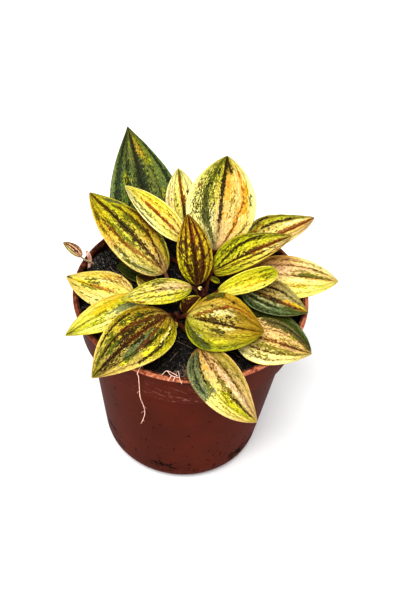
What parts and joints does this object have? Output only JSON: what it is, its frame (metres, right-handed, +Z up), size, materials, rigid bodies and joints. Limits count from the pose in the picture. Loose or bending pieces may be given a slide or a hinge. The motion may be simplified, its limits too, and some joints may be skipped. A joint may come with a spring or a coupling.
{
  "type": "potted peperomia",
  "caption": "Variegated peperomia with pointed, marbled yellow and green leaves on short stalks, in a round tapered plastic pot of peat.",
  "frame": {"origin": "centre of the pot's flat base, on the surface that it stands on", "axes": "+Z up along the pot's axis; -Y is the front, with +X to the right when seen from the front"},
  "size_m": [0.1439, 0.1501, 0.1496],
  "materials": {
    "pot_plastic": "thin reddish brown moulded plastic, matt, with soil smudges",
    "peat": "loose black-brown peat with crumbs and root fibres",
    "stem_skin": "dark maroon succulent stem, slightly glossy",
    "blade": "fleshy, glossy leaf marbled yellow, cream, green and maroon, with sunken parallel veins",
    "dry_blade": "withered tan leaf with brown stripes",
    "root_skin": "thin pale pink root"
  },
  "bodies": {
    "root": {"pot": "pot_plastic", "soil": "peat", "stem_back": "stem_skin", "stem_centre": "stem_skin", "stem_left": "stem_skin", "stem_front": "stem_skin", "stem_right": "stem_skin", "leaf_back_left": "blade", "leaf_left_upper": "blade", "leaf_left_narrow": "blade", "leaf_back_small": "blade", "leaf_back_tall": "blade", "leaf_crown_dark": "blade", "leaf_right_upper": "blade", "leaf_crown_right": "blade", "leaf_right_pale": "blade", "leaf_crown_yellow": "blade", "leaf_right_green": "blade", "leaf_front_round": "blade", "leaf_right_shaded": "blade", "leaf_right_low": "blade", "leaf_front_hanging": "blade", "leaf_front_left": "blade", "leaf_left_pale": "blade", "leaf_left_low": "blade", "leaf_crown_left": "blade", "leaf_left_shaded": "blade", "leaf_left_inner": "blade", "leaf_young_folded": "blade", "leaf_young_strip": "blade", "leaf_young_curl": "blade", "leaf_bud": "blade", "leaf_withered": "dry_blade", "root_hanging": "root_skin", "root_rim": "root_skin"}
  },
  "joints": []
}
